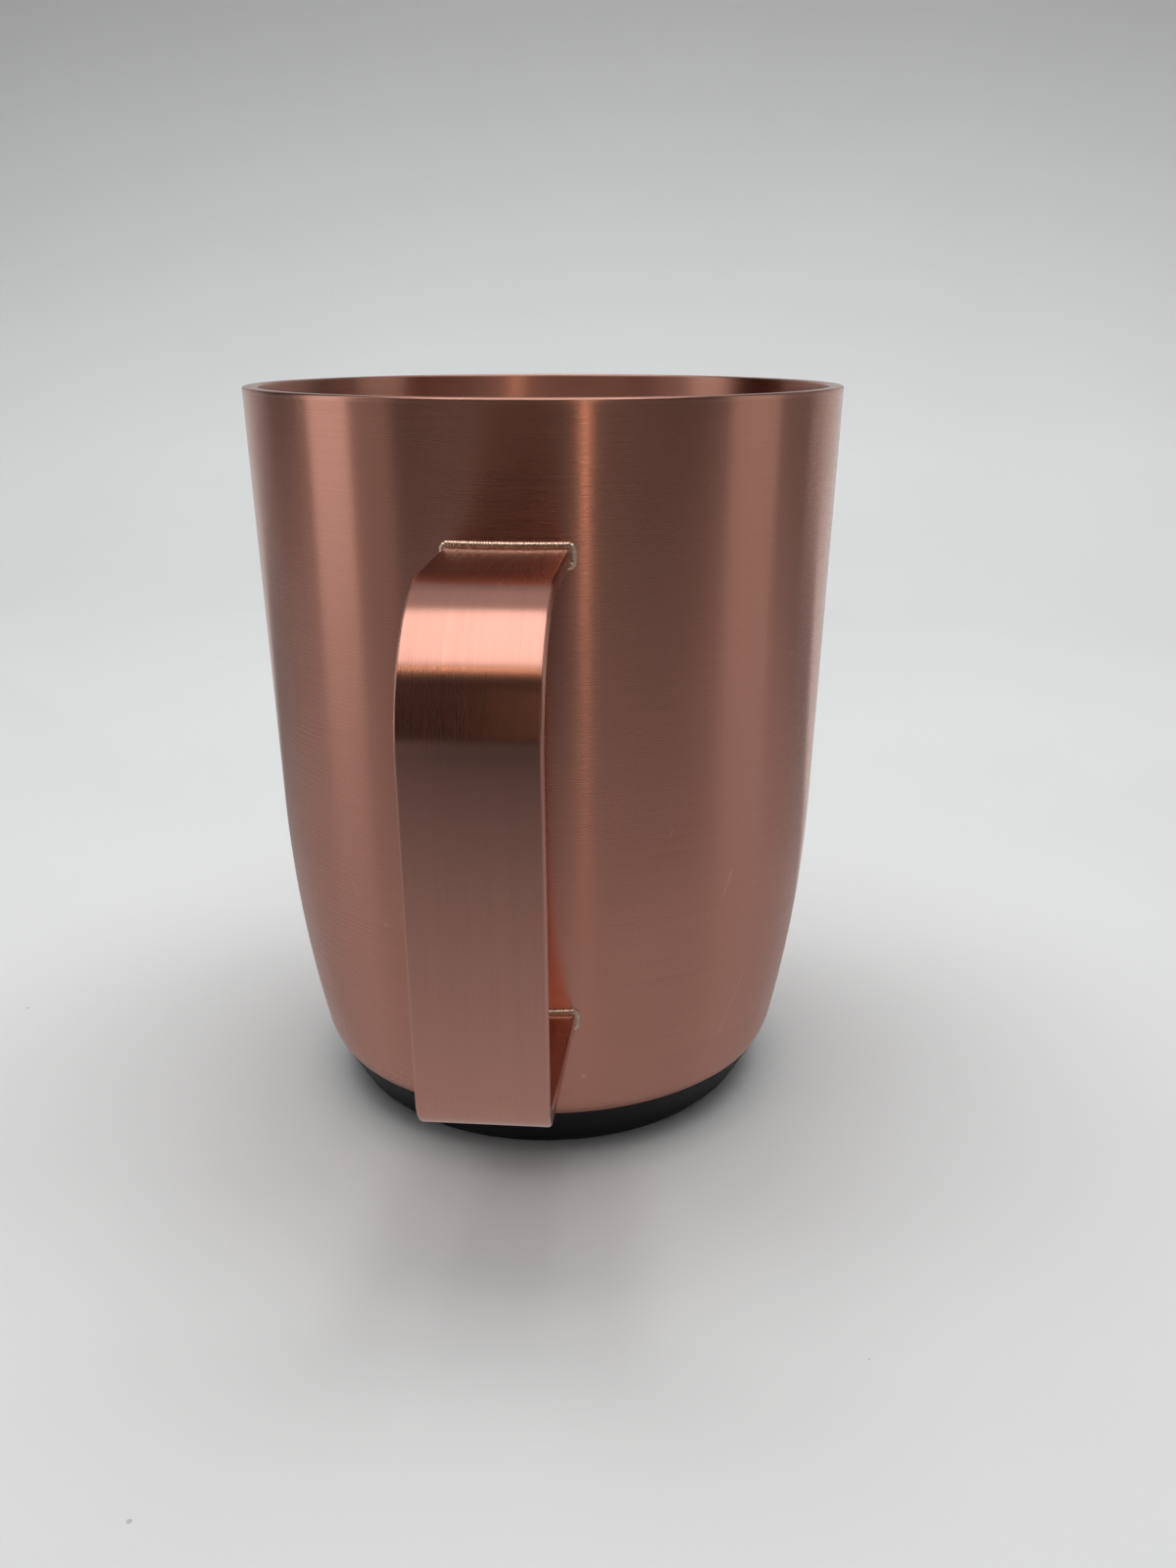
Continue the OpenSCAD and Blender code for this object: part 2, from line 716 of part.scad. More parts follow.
module whisk_ring() {
    color([0.78, 0.79, 0.8]) difference() {
        union() {
            translate([0, 0, ring_z]) rotate_extrude() translate([whisk_r, 0]) circle(r = ring_wire_r, $fn = 32);
            around([0, 120, 240], 0) translate([0, 0, ring_z]) rotate([0, 90, 0])
                cylinder(r = ring_wire_r, h = whisk_r, $fn = 32);
        }
        disc(column_r, ring_z - 2, 4);
    }
}

module whisk_coil() {
    step = 360 / coil_turns;
    color([0.8, 0.81, 0.82]) for (i = [0:coil_turns - 1])
        rotate([0, 0, step * (i + 0.5)]) translate([whisk_r, 0, ring_z]) rotate([90, 0, 0])
            rotate_extrude() translate([coil_r, 0]) circle(r = coil_wire_r, $fn = 16);
}

outer_shell();
inner_vessel();
spindle_pin();
handle_strap();
handle_welds();
base_cover();
base_seal();
foot_ring();
base_screws();
chassis();
vessel_studs();
stud_spacers();
stud_nuts();
heat_spreader();
heater_element();
thermal_cutout();
temperature_sensor();
sensor_spring();
motor_bracket();
motor_body();
motor_shaft();
magnet_carrier();
drive_magnets();
control_board();
board_components();
inlet_socket();
contact_rings();
wiring();
button_bezel();
button_cap();
button_spring();
switch_body();
switch_plunger();
button_board();
whisk_hub();
whisk_cap();
whisk_magnets();
whisk_ring();
whisk_coil();
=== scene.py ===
# Milk frother jug: camera, stage, finishes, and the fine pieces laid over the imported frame
import bpy
import bmesh
import json
import math
import random
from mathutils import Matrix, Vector


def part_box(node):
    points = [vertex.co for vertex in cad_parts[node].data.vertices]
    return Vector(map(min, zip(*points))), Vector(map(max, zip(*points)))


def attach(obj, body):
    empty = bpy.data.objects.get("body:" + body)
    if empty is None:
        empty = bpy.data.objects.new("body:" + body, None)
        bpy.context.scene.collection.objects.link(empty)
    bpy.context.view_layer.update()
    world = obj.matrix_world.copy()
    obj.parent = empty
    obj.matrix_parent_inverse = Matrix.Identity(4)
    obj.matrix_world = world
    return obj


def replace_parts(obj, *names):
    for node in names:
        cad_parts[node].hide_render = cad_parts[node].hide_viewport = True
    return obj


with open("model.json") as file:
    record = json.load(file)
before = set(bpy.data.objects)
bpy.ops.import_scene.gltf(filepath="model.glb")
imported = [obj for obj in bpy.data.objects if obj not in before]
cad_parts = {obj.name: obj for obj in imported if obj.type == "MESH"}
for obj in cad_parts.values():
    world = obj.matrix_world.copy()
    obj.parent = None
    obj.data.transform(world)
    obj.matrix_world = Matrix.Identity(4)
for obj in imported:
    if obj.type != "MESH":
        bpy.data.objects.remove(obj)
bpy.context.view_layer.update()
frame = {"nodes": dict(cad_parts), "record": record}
nodes = frame["nodes"]
mounts = {m["name"]: m for m in frame["record"]["mounts"]}
scene = bpy.context.scene
random.seed(11)

# camera: behind the handle, a little above the rim, looking down
cameraPlace = {
    "reach": 0.2423,   # from the jug's axis, metres
    "height": 0.1341,
    "around": 6.41,    # degrees towards +X from straight behind the handle
    "down": 18.42,
    "turn": 1.74,      # degrees to the right of the axis
    "lens": 31.5,
}


def addCamera(place):
    camera = bpy.data.objects.new("camera", bpy.data.cameras.new("camera"))
    scene.collection.objects.link(camera)
    side = math.radians(place["around"])
    camera.location = (place["reach"] * math.sin(side), -place["reach"] * math.cos(side), place["height"])
    camera.rotation_euler = (math.radians(90 - place["down"]), 0, side - math.radians(place["turn"]))
    camera.data.lens = place["lens"]
    camera.data.sensor_width = 36
    camera.data.clip_start = 0.005
    scene.camera = camera
    return camera


addCamera(cameraPlace)
print("camera placed")


# shared effects, as node groups
def newGroup(name, inputs, outputs):
    group = bpy.data.node_groups.new(name, "ShaderNodeTree")
    for label, kind, value in inputs:
        socket = group.interface.new_socket(label, in_out="INPUT", socket_type=kind)
        socket.default_value = value
    for label, kind in outputs:
        group.interface.new_socket(label, in_out="OUTPUT", socket_type=kind)
    tree = group.nodes
    return group, tree, group.links, tree.new("NodeGroupInput"), tree.new("NodeGroupOutput")


def mathNode(tree, links, operation, first, second=None, clamp=False):
    node = tree.new("ShaderNodeMath")
    node.operation = operation
    node.use_clamp = clamp
    for index, value in enumerate((first, second)):
        if value is None:
            continue
        if hasattr(value, "is_linked"):
            links.new(value, node.inputs[index])
        else:
            node.inputs[index].default_value = value
    return node.outputs[0]


def rangeNode(tree, links, value, fromLow, fromHigh, toLow, toHigh):
    node = tree.new("ShaderNodeMapRange")
    links.new(value, node.inputs["Value"])
    ends = {"From Min": fromLow, "From Max": fromHigh, "To Min": toLow, "To Max": toHigh}
    for label, given in ends.items():
        if hasattr(given, "is_linked"):
            links.new(given, node.inputs[label])
        else:
            node.inputs[label].default_value = given
    return node.outputs[0]


def noiseNode(tree, links, vector, scale, detail, roughness=0.5):
    node = tree.new("ShaderNodeTexNoise")
    links.new(vector, node.inputs["Vector"])
    node.inputs["Scale"].default_value = scale
    node.inputs["Detail"].default_value = detail
    node.inputs["Roughness"].default_value = roughness
    return node.outputs["Fac"]


def stretched(tree, links, vector, stretch):
    node = tree.new("ShaderNodeVectorMath")
    node.operation = "MULTIPLY"
    links.new(vector, node.inputs[0])
    if hasattr(stretch, "is_linked"):
        links.new(stretch, node.inputs[1])
    else:
        node.inputs[1].default_value = stretch
    return node.outputs[0]


def makeBrushGrain():
    # fine lines of a brushed metal: Stretch is large across the lines and small along them
    group, tree, links, start, end = newGroup(
        "brushGrain",
        [("Stretch", "NodeSocketVector", (30, 30, 4000))],
        [("Lines", "NodeSocketFloat"), ("Bands", "NodeSocketFloat")])
    place = tree.new("ShaderNodeTexCoord").outputs["Object"]
    across = stretched(tree, links, place, start.outputs["Stretch"])
    fine = noiseNode(tree, links, across, 1.0, 3.0, 0.62)
    broad = noiseNode(tree, links, stretched(tree, links, across, (0.5, 0.5, 0.5)), 0.16, 2.0, 0.5)
    links.new(rangeNode(tree, links, fine, 0.28, 0.72, 0, 1), end.inputs["Lines"])
    links.new(rangeNode(tree, links, broad, 0.3, 0.7, 0, 1), end.inputs["Bands"])
    return group


wearShape = {
    "cells": 95,                  # one speck at most in each cell
    "speckShare": 0.86,           # cells above this have a speck
    "scratchTurn": (0.5, 0.9, 0.3),
    "scratchStretch": (60, 1500, 60),
    "scratchCut": 0.735,
    "patch": 46,                  # scratches keep to patches of this scale
    "patchCut": 0.63,
    "smudge": 34,
}


def makeWear(shape):
    # Marks: specks and short scratches. Smudge: broad, soft handling marks
    group, tree, links, start, end = newGroup(
        "handlingWear",
        [("Speck Size", "NodeSocketFloat", 0.12), ("Amount", "NodeSocketFloat", 0.5)],
        [("Marks", "NodeSocketFloat"), ("Smudge", "NodeSocketFloat")])
    place = tree.new("ShaderNodeTexCoord").outputs["Object"]
    cells = tree.new("ShaderNodeTexVoronoi")
    cells.inputs["Scale"].default_value = shape["cells"]
    links.new(place, cells.inputs["Vector"])
    dot = mathNode(tree, links, "LESS_THAN", cells.outputs["Distance"], start.outputs["Speck Size"])
    chosen = tree.new("ShaderNodeSeparateColor")
    links.new(cells.outputs["Color"], chosen.inputs["Color"])
    few = mathNode(tree, links, "GREATER_THAN", chosen.outputs["Red"], shape["speckShare"])
    dots = mathNode(tree, links, "MULTIPLY", dot, few)
    turned = tree.new("ShaderNodeVectorRotate")
    turned.rotation_type = "EULER_XYZ"
    turned.inputs["Rotation"].default_value = shape["scratchTurn"]
    links.new(place, turned.inputs["Vector"])
    along = stretched(tree, links, turned.outputs[0], shape["scratchStretch"])
    streak = noiseNode(tree, links, along, 1.0, 1.0)
    where = noiseNode(tree, links, place, shape["patch"], 1.0)
    scratch = mathNode(tree, links, "MULTIPLY",
                       mathNode(tree, links, "GREATER_THAN", streak, shape["scratchCut"]),
                       mathNode(tree, links, "GREATER_THAN", where, shape["patchCut"]))
    marks = mathNode(tree, links, "MAXIMUM", dots, scratch)
    links.new(mathNode(tree, links, "MULTIPLY", marks, start.outputs["Amount"]), end.inputs["Marks"])
    smudge = noiseNode(tree, links, place, shape["smudge"], 3.0, 0.55)
    links.new(rangeNode(tree, links, smudge, 0.35, 0.7, 0, 1), end.inputs["Smudge"])
    return group


def makeMould():
    # moulded plastic and rubber: a fine pebble and a broad, slight change of tone
    group, tree, links, start, end = newGroup(
        "mouldGrain",
        [("Grain", "NodeSocketFloat", 1.0)],
        [("Height", "NodeSocketFloat"), ("Tone", "NodeSocketFloat")])
    place = tree.new("ShaderNodeTexCoord").outputs["Object"]
    sized = tree.new("ShaderNodeVectorMath")
    sized.operation = "SCALE"
    links.new(place, sized.inputs[0])
    links.new(start.outputs["Grain"], sized.inputs["Scale"])
    pebble = noiseNode(tree, links, sized.outputs[0], 2600, 2.0, 0.6)
    links.new(pebble, end.inputs["Height"])
    links.new(noiseNode(tree, links, place, 60, 2.0), end.inputs["Tone"])
    return group


brushGrain, handlingWear, mouldGrain = makeBrushGrain(), makeWear(wearShape), makeMould()
print("effects built")


# materials
def newMaterial(name):
    material = bpy.data.materials.new(name)
    material.use_nodes = True
    tree = material.node_tree
    return material, tree.nodes, tree.links, tree.nodes["Principled BSDF"]


def placed(tree, group, **values):
    node = tree.new("ShaderNodeGroup")
    node.node_tree = group
    for label, value in values.items():
        node.inputs[label.replace("_", " ")].default_value = value
    return node


def mixColour(tree, links, amount, first, second):
    node = tree.new("ShaderNodeMix")
    node.data_type = "RGBA"
    links.new(amount, node.inputs["Factor"])
    for index, value in ((6, first), (7, second)):
        if hasattr(value, "is_linked"):
            links.new(value, node.inputs[index])
        else:
            node.inputs[index].default_value = (*value, 1)
    return node.outputs[2]


def shade(colour, amount):
    return tuple(c * amount for c in colour)


def bump(tree, links, height, strength, distance, shader):
    node = tree.new("ShaderNodeBump")
    node.inputs["Strength"].default_value = strength
    node.inputs["Distance"].default_value = distance
    links.new(height, node.inputs["Height"])
    links.new(node.outputs["Normal"], shader.inputs["Normal"])


def brushedMetal(name, look):
    material, tree, links, shader = newMaterial(name)
    grain = placed(tree, brushGrain, Stretch=look["stretch"])
    wear = placed(tree, handlingWear, Speck_Size=look.get("specks", 0.1), Amount=look.get("wear", 0.4))
    colour = look["colour"]
    lined = mixColour(tree, links, grain.outputs["Lines"], shade(colour, 1 - look["contrast"]), colour)
    lighter = shade(colour, 1 + look["contrast"] * 0.5)
    banded = mixColour(tree, links, grain.outputs["Bands"], lined, lighter)
    half = tree.new("ShaderNodeMix")
    half.data_type = "RGBA"
    half.inputs["Factor"].default_value = 0.35
    links.new(lined, half.inputs[6])
    links.new(banded, half.inputs[7])
    markColour = look.get("mark", (0.9, 0.75, 0.68))
    marked = mixColour(tree, links, wear.outputs["Marks"], half.outputs[2], markColour)
    links.new(marked, shader.inputs["Base Color"])
    low, high = look["roughness"]
    lines = rangeNode(tree, links, grain.outputs["Lines"], 0, 1, high, low)
    smudged = mathNode(tree, links, "MULTIPLY_ADD", wear.outputs["Smudge"], 0.05)
    links.new(lines, smudged.node.inputs[2])
    links.new(smudged, shader.inputs["Roughness"])
    shader.inputs["Metallic"].default_value = 1.0
    shader.inputs["Anisotropic"].default_value = look["anisotropy"]
    shader.inputs["Anisotropic Rotation"].default_value = look.get("turn", 0.25)
    tangent = tree.new("ShaderNodeTangent")
    tangent.direction_type = "RADIAL"
    tangent.axis = look.get("axis", "Z")
    links.new(tangent.outputs[0], shader.inputs["Tangent"])
    bump(tree, links, grain.outputs["Lines"], look["bump"], 0.00003, shader)
    return material


def plainMetal(name, look):
    material, tree, links, shader = newMaterial(name)
    wear = placed(tree, handlingWear, Speck_Size=0.14, Amount=look.get("wear", 0.3))
    worn = mixColour(tree, links, wear.outputs["Marks"], look["colour"], shade(look["colour"], 0.6))
    stain = shade(look["colour"], look.get("stain", 0.86))
    stained = mixColour(tree, links, wear.outputs["Smudge"], worn, stain)
    links.new(stained, shader.inputs["Base Color"])
    low, high = look["roughness"]
    links.new(rangeNode(tree, links, wear.outputs["Smudge"], 0, 1, low, high), shader.inputs["Roughness"])
    shader.inputs["Metallic"].default_value = look.get("metallic", 1.0)
    return material


def moulded(name, look):
    material, tree, links, shader = newMaterial(name)
    grain = placed(tree, mouldGrain, Grain=look.get("grain", 1.0))
    wear = placed(tree, handlingWear, Speck_Size=0.1, Amount=look.get("wear", 0.25))
    colour = look["colour"]
    toned = mixColour(tree, links, grain.outputs["Tone"], shade(colour, 0.82), shade(colour, 1.18))
    dusty = mixColour(tree, links, wear.outputs["Marks"], toned, look.get("mark", shade(colour, 1.6)))
    links.new(dusty, shader.inputs["Base Color"])
    low, high = look["roughness"]
    links.new(rangeNode(tree, links, wear.outputs["Smudge"], 0, 1, low, high), shader.inputs["Roughness"])
    shader.inputs["Specular IOR Level"].default_value = look.get("specular", 0.4)
    bump(tree, links, grain.outputs["Height"], look.get("bump", 0.25), 0.00006, shader)
    return material


copper = (0.6, 0.292, 0.225)
roundBrushed = (26, 26, 5200)     # lines run round the jug
longBrushed = (5600, 24, 24)      # lines run along the strap

brushedLooks = {
    "copper_shell": {"colour": copper, "stretch": roundBrushed, "contrast": 0.06, "roughness": (0.24, 0.28),
                     "anisotropy": 0.96, "bump": 0.006, "wear": 0.14, "specks": 0.05},
    "copper_vessel": {"colour": (0.66, 0.345, 0.268), "stretch": roundBrushed, "contrast": 0.1,
                      "roughness": (0.26, 0.32), "anisotropy": 0.85, "bump": 0.02, "wear": 0.2,
                      "specks": 0.04},
    "copper_strap": {"colour": (0.66, 0.345, 0.275), "stretch": longBrushed, "contrast": 0.1,
                     "roughness": (0.24, 0.29), "anisotropy": 0.93, "axis": "X", "bump": 0.008, "wear": 0.4,
                     "specks": 0.06},
    "copper_bezel": {"colour": copper, "stretch": (1800, 1800, 1800), "contrast": 0.1,
                     "roughness": (0.22, 0.3), "anisotropy": 0.5, "axis": "Y", "bump": 0.1},
    "whisk_steel": {"colour": (0.72, 0.73, 0.74), "stretch": (900, 900, 900), "contrast": 0.12,
                    "roughness": (0.14, 0.24), "anisotropy": 0.3, "bump": 0.08, "mark": (0.4, 0.4, 0.4)},
    "steel_pin": {"colour": (0.74, 0.75, 0.77), "stretch": (60, 60, 3000), "contrast": 0.1,
                  "roughness": (0.12, 0.2), "anisotropy": 0.5, "bump": 0.1, "mark": (0.45, 0.45, 0.45)},
    "ground_shaft": {"colour": (0.78, 0.79, 0.8), "stretch": (60, 60, 5000), "contrast": 0.12,
                     "roughness": (0.12, 0.2), "anisotropy": 0.6, "bump": 0.12, "mark": (0.5, 0.5, 0.5)},
    "aluminium_plate": {"colour": (0.8, 0.81, 0.83), "stretch": (2400, 2400, 300), "contrast": 0.16,
                        "roughness": (0.3, 0.42), "anisotropy": 0.4, "bump": 0.2, "mark": (0.5, 0.5, 0.5)},
    "zinc_plate": {"colour": (0.64, 0.66, 0.7), "stretch": (60, 1600, 1600), "contrast": 0.14,
                   "roughness": (0.3, 0.44), "anisotropy": 0.3, "bump": 0.15, "mark": (0.4, 0.4, 0.42)},
    "motor_can": {"colour": (0.5, 0.51, 0.53), "stretch": (50, 50, 3600), "contrast": 0.15,
                  "roughness": (0.25, 0.38), "anisotropy": 0.5, "bump": 0.15, "mark": (0.3, 0.3, 0.3)},
}
metalLooks = {
    "weld_metal": {"colour": (0.8, 0.62, 0.5), "roughness": (0.3, 0.42), "wear": 0.3},
    "bright_steel": {"colour": (0.62, 0.63, 0.65), "roughness": (0.24, 0.4)},
    "heater_sheath": {"colour": (0.3, 0.27, 0.25), "roughness": (0.38, 0.6), "stain": 0.6},
    "brass_parts": {"colour": (0.8, 0.6, 0.28), "roughness": (0.2, 0.36)},
    "spring_steel": {"colour": (0.62, 0.62, 0.64), "roughness": (0.2, 0.32)},
    "magnet_nickel": {"colour": (0.6, 0.59, 0.6), "roughness": (0.1, 0.2)},
}
mouldedLooks = {
    "black_foot": {"colour": (0.0065, 0.006, 0.007), "roughness": (0.5, 0.62), "bump": 0.3, "specular": 0.22},
    "soft_black": {"colour": (0.018, 0.018, 0.019), "roughness": (0.6, 0.78), "bump": 0.4, "specular": 0.25},
    "chassis_plastic": {"colour": (0.66, 0.65, 0.6), "roughness": (0.45, 0.6), "bump": 0.2},
    "ceramic_white": {"colour": (0.8, 0.78, 0.71), "roughness": (0.5, 0.65), "bump": 0.15},
    "green_board": {"colour": (0.012, 0.13, 0.05), "roughness": (0.25, 0.36), "bump": 0.05, "specular": 0.5},
    "chip_black": {"colour": (0.016, 0.016, 0.018), "roughness": (0.42, 0.56), "bump": 0.25},
    "socket_plastic": {"colour": (0.016, 0.016, 0.017), "roughness": (0.4, 0.54), "bump": 0.25},
    "wire_sleeve": {"colour": (0.4, 0.03, 0.02), "roughness": (0.5, 0.62), "bump": 0.1},
    "black_button": {"colour": (0.011, 0.011, 0.012), "roughness": (0.22, 0.32), "bump": 0.1,
                     "specular": 0.5},
    "white_plunger": {"colour": (0.72, 0.72, 0.68), "roughness": (0.4, 0.5), "bump": 0.1},
    "whisk_plastic": {"colour": (0.016, 0.016, 0.018), "roughness": (0.34, 0.46), "bump": 0.18},
}
finishes = {name: brushedMetal(name, look) for name, look in brushedLooks.items()}
finishes.update({name: plainMetal(name, look) for name, look in metalLooks.items()})
finishes.update({name: moulded(name, look) for name, look in mouldedLooks.items()})
slotOf = {part["node"]: part["material_slot"] for part in frame["record"]["subparts"]}
for name, node in nodes.items():
    node.data.materials.clear()
    node.data.materials.append(finishes[slotOf[name]])
print("materials:", len(finishes))


# tools for the fine pieces
def addPiece(name, bm, material, body="jug", smooth=True):
    mesh = bpy.data.meshes.new(name)
    bmesh.ops.recalc_face_normals(bm, faces=bm.faces)
    bm.to_mesh(mesh)
    bm.free()
    piece = bpy.data.objects.new(name, mesh)
    scene.collection.objects.link(piece)
    mesh.materials.append(finishes[material])
    mesh.polygons.foreach_set("use_smooth", [smooth] * len(mesh.polygons))
    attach(piece, body)
    return piece


def sharpen(piece, degrees):
    mesh = piece.data
    bm = bmesh.new()
    bm.from_mesh(mesh)
    for edge in bm.edges:
        if len(edge.link_faces) == 2 and edge.calc_face_angle(0) > math.radians(degrees):
            edge.smooth = False
    bm.to_mesh(mesh)
    bm.free()


def turned(outline, segments, closed=True):
    # a closed outline of (radius, height) turned about the jug's axis; a radius of 0 becomes one point
    bm = bmesh.new()
    rings = []
    for radius, height in outline:
        if radius < 1e-7:
            rings.append([bm.verts.new((0, 0, height))])
            continue
        steps = [2 * math.pi * i / segments for i in range(segments)]
        rings.append([bm.verts.new((radius * math.cos(a), radius * math.sin(a), height)) for a in steps])
    pairs = list(zip(rings, rings[1:])) + ([(rings[-1], rings[0])] if closed else [])
    for lower, upper in pairs:
        if len(lower) == 1 and len(upper) == 1:
            continue
        for i in range(segments):
            j = (i + 1) % segments
            corners = [lower[i % len(lower)], lower[j % len(lower)],
                       upper[j % len(upper)], upper[i % len(upper)]]
            bm.faces.new(list(dict.fromkeys(corners)))
    return bm


def arc(centre, radius, start, stop, steps):
    angles = [math.radians(start + (stop - start) * i / steps) for i in range(steps + 1)]
    return [(centre[0] + radius * math.cos(a), centre[1] + radius * math.sin(a)) for a in angles]


def swept(path, section, closedPath=False, across=Vector((1, 0, 0))):
    # a section of (side, out) points carried along a path, kept square to one fixed direction
    bm = bmesh.new()
    rings = []
    count = len(path)
    for i, point in enumerate(path):
        before = path[i - 1] if (i or closedPath) else path[0]
        after = path[(i + 1) % count] if (i < count - 1 or closedPath) else path[-1]
        along = (after - before).normalized()
        out = across.cross(along).normalized()
        side = along.cross(out).normalized()
        rings.append([bm.verts.new(point + side * s + out * o) for s, o in section(i / max(count - 1, 1))])
    size = len(rings[0])
    for lower, upper in list(zip(rings, rings[1:])) + ([(rings[-1], rings[0])] if closedPath else []):
        for k in range(size):
            bm.faces.new((lower[k], lower[(k + 1) % size], upper[(k + 1) % size], upper[k]))
    if not closedPath:
        bm.faces.new(rings[0])
        bm.faces.new(list(reversed(rings[-1])))
    return bm


# the side of the jug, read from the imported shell's own rings
def ringsOf(node, wanted):
    found = {}
    for vertex in nodes[node].data.vertices:
        radius = math.hypot(vertex.co.x, vertex.co.y)
        key = (round(vertex.co.z, 5), round(radius, 4))
        found.setdefault(key, []).append(radius)
    return sorted((key[0], sum(hits) / len(hits)) for key, hits in found.items() if len(hits) >= wanted)


def outerSide():
    widest = {}
    for height, radius in ringsOf("outer_shell", 60):
        widest[height] = max(radius, widest.get(height, 0))
    return sorted(widest.items())


side = outerSide()


def sideRadius(height):
    # a smooth curve through the rings
    if height <= side[0][0]:
        return side[0][1]
    if height >= side[-1][0]:
        (z0, r0), (z1, r1) = side[-2], side[-1]
        return r1 + (r1 - r0) * (height - z1) / (z1 - z0)
    k = max(i for i in range(len(side) - 1) if side[i][0] <= height)
    (z1, r1), (z2, r2) = side[k], side[k + 1]
    z0, r0 = side[k - 1] if k else (2 * z1 - z2, 2 * r1 - r2)
    z3, r3 = side[k + 2] if k + 2 < len(side) else (2 * z2 - z1, 2 * r2 - r1)
    slope1, slope2 = (r2 - r0) / (z2 - z0), (r3 - r1) / (z3 - z1)
    t, gap = (height - z1) / (z2 - z1), z2 - z1
    return ((2 * t ** 3 - 3 * t ** 2 + 1) * r1 + (t ** 3 - 2 * t ** 2 + t) * gap * slope1
            + (3 * t ** 2 - 2 * t ** 3) * r2 + (t ** 3 - t ** 2) * gap * slope2)


def heights(low, high, step):
    count = max(2, round((high - low) / step))
    return [low + (high - low) * i / count for i in range(count + 1)]


# outer shell
shellShape = {"wall": 0.0008, "edgeRound": 0.00022, "step": 0.0013, "segments": 288, "buttonHole": 0.0081}


def makeShell(shape):
    low, high = side[0][0], side[-1][0]
    wall, roundness = shape["wall"], shape["edgeRound"]
    outer = [(sideRadius(z), z) for z in heights(low + roundness, high, shape["step"])]
    inner = [(sideRadius(z) - wall, z) for z in reversed(heights(low + roundness, high, shape["step"] * 2))]
    foot = [(sideRadius(low) - wall + roundness, low), (sideRadius(low) - roundness, low),
            (sideRadius(low) - roundness * 0.3, low + roundness * 0.3)]
    bm = turned(outer + inner + foot, shape["segments"])
    lowCap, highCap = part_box("button_cap")
    centreZ, hole = (lowCap.z + highCap.z) / 2, shape["buttonHole"]

    def away(vertex):
        return math.hypot(vertex.co.x, vertex.co.z - centreZ)

    inside = [f for f in bm.faces if all(v.co.y > 0 and away(v) < hole for v in f.verts)]
    bmesh.ops.delete(bm, geom=inside, context="FACES")
    for vertex in bm.verts:
        if vertex.co.y > 0 and away(vertex) < hole:
            grow = hole / max(away(vertex), 1e-6)
            x, z = vertex.co.x * grow, centreZ + (vertex.co.z - centreZ) * grow
            radius = math.hypot(vertex.co.x, vertex.co.y) - sideRadius(vertex.co.z) + sideRadius(z)
            vertex.co = (x, math.sqrt(max(radius ** 2 - x ** 2, 0)), z)
    piece = addPiece("shell_skin", bm, "copper_shell")
    sharpen(piece, 50)
    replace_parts(piece, "outer_shell")


makeShell(shellShape)

# inner vessel
vesselShape = {"wall": 0.0007, "inset": 0.0038, "ledgeDrop": 0.0026, "fillet": 0.007, "lip": 0.0008,
               "lipRound": 0.0003, "segments": 256}


def makeVessel(shape):
    low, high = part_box("inner_vessel")
    seat = mounts["lid_seat"]
    mouth, depth = seat["dims"]["r_mm"] / 1000, seat["dims"]["length_mm"] / 1000
    wall, inset, fillet, roundness = shape["wall"], shape["inset"], shape["fillet"], shape["lipRound"]
    rim, top, ledge = high.x, high.z, high.z - depth
    wallLow, wallTop = low.z + fillet + wall, ledge - shape["ledgeDrop"]
    flat = sideRadius(wallLow) - inset - wall - fillet
    outline = [(0, low.z), (flat, low.z)]
    outline += arc((flat, wallLow), fillet + wall, -90, 0, 12)[1:]
    outline += [(sideRadius(z) - inset, z) for z in heights(wallLow, wallTop, 0.003)[1:]]
    outline += [(mouth + wall, ledge), (mouth + wall, top - shape["lip"])]
    outline += [(sideRadius(top - shape["lip"]), top - shape["lip"])]
    outline += arc((rim - roundness, top - roundness), roundness, 0, 90, 5)
    outline += arc((mouth + roundness, top - roundness), roundness, 90, 180, 5)
    outline += [(mouth, ledge + 0.0006)] + arc((mouth - 0.0006, ledge + 0.0006), 0.0006, 0, -45, 3)[1:]
    outline += [(sideRadius(z) - inset - wall, z) for z in reversed(heights(wallLow, wallTop, 0.003))]
    outline += arc((flat, wallLow), fillet, 0, -90, 12)[1:]
    outline += [(0, low.z + wall)]
    piece = addPiece("vessel_skin", turned(outline, shape["segments"], closed=False), "copper_vessel")
    sharpen(piece, 55)
    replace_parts(piece, "inner_vessel")


makeVessel(vesselShape)
print("shell and vessel turned")

# strap handle: one flat bar, bent twice, with eased edges
strapShape = {"topCorner": (0.0876, 0.104), "lowCorner": (0.0828, 0.031), "topSlope": 1.2, "lowSlope": 5.4,
              "topBend": 0.019, "lowBend": 0.006, "thick": 0.0025, "edge": 0.00045, "intoSide": 0.0006}


def bendPoints(corner, fromDir, toDir, radius, steps):
    turn = math.acos(max(-1, min(1, fromDir.dot(toDir))))
    inward = (toDir - fromDir).normalized()
    centre = corner + inward * radius / math.cos(turn / 2)
    start = corner - fromDir * radius * math.tan(turn / 2) - centre
    first = math.atan2(start.y, start.x)
    angles = [first - turn * i / steps for i in range(steps + 1)]
    return [centre + Vector((math.cos(a), math.sin(a))) * radius for a in angles]


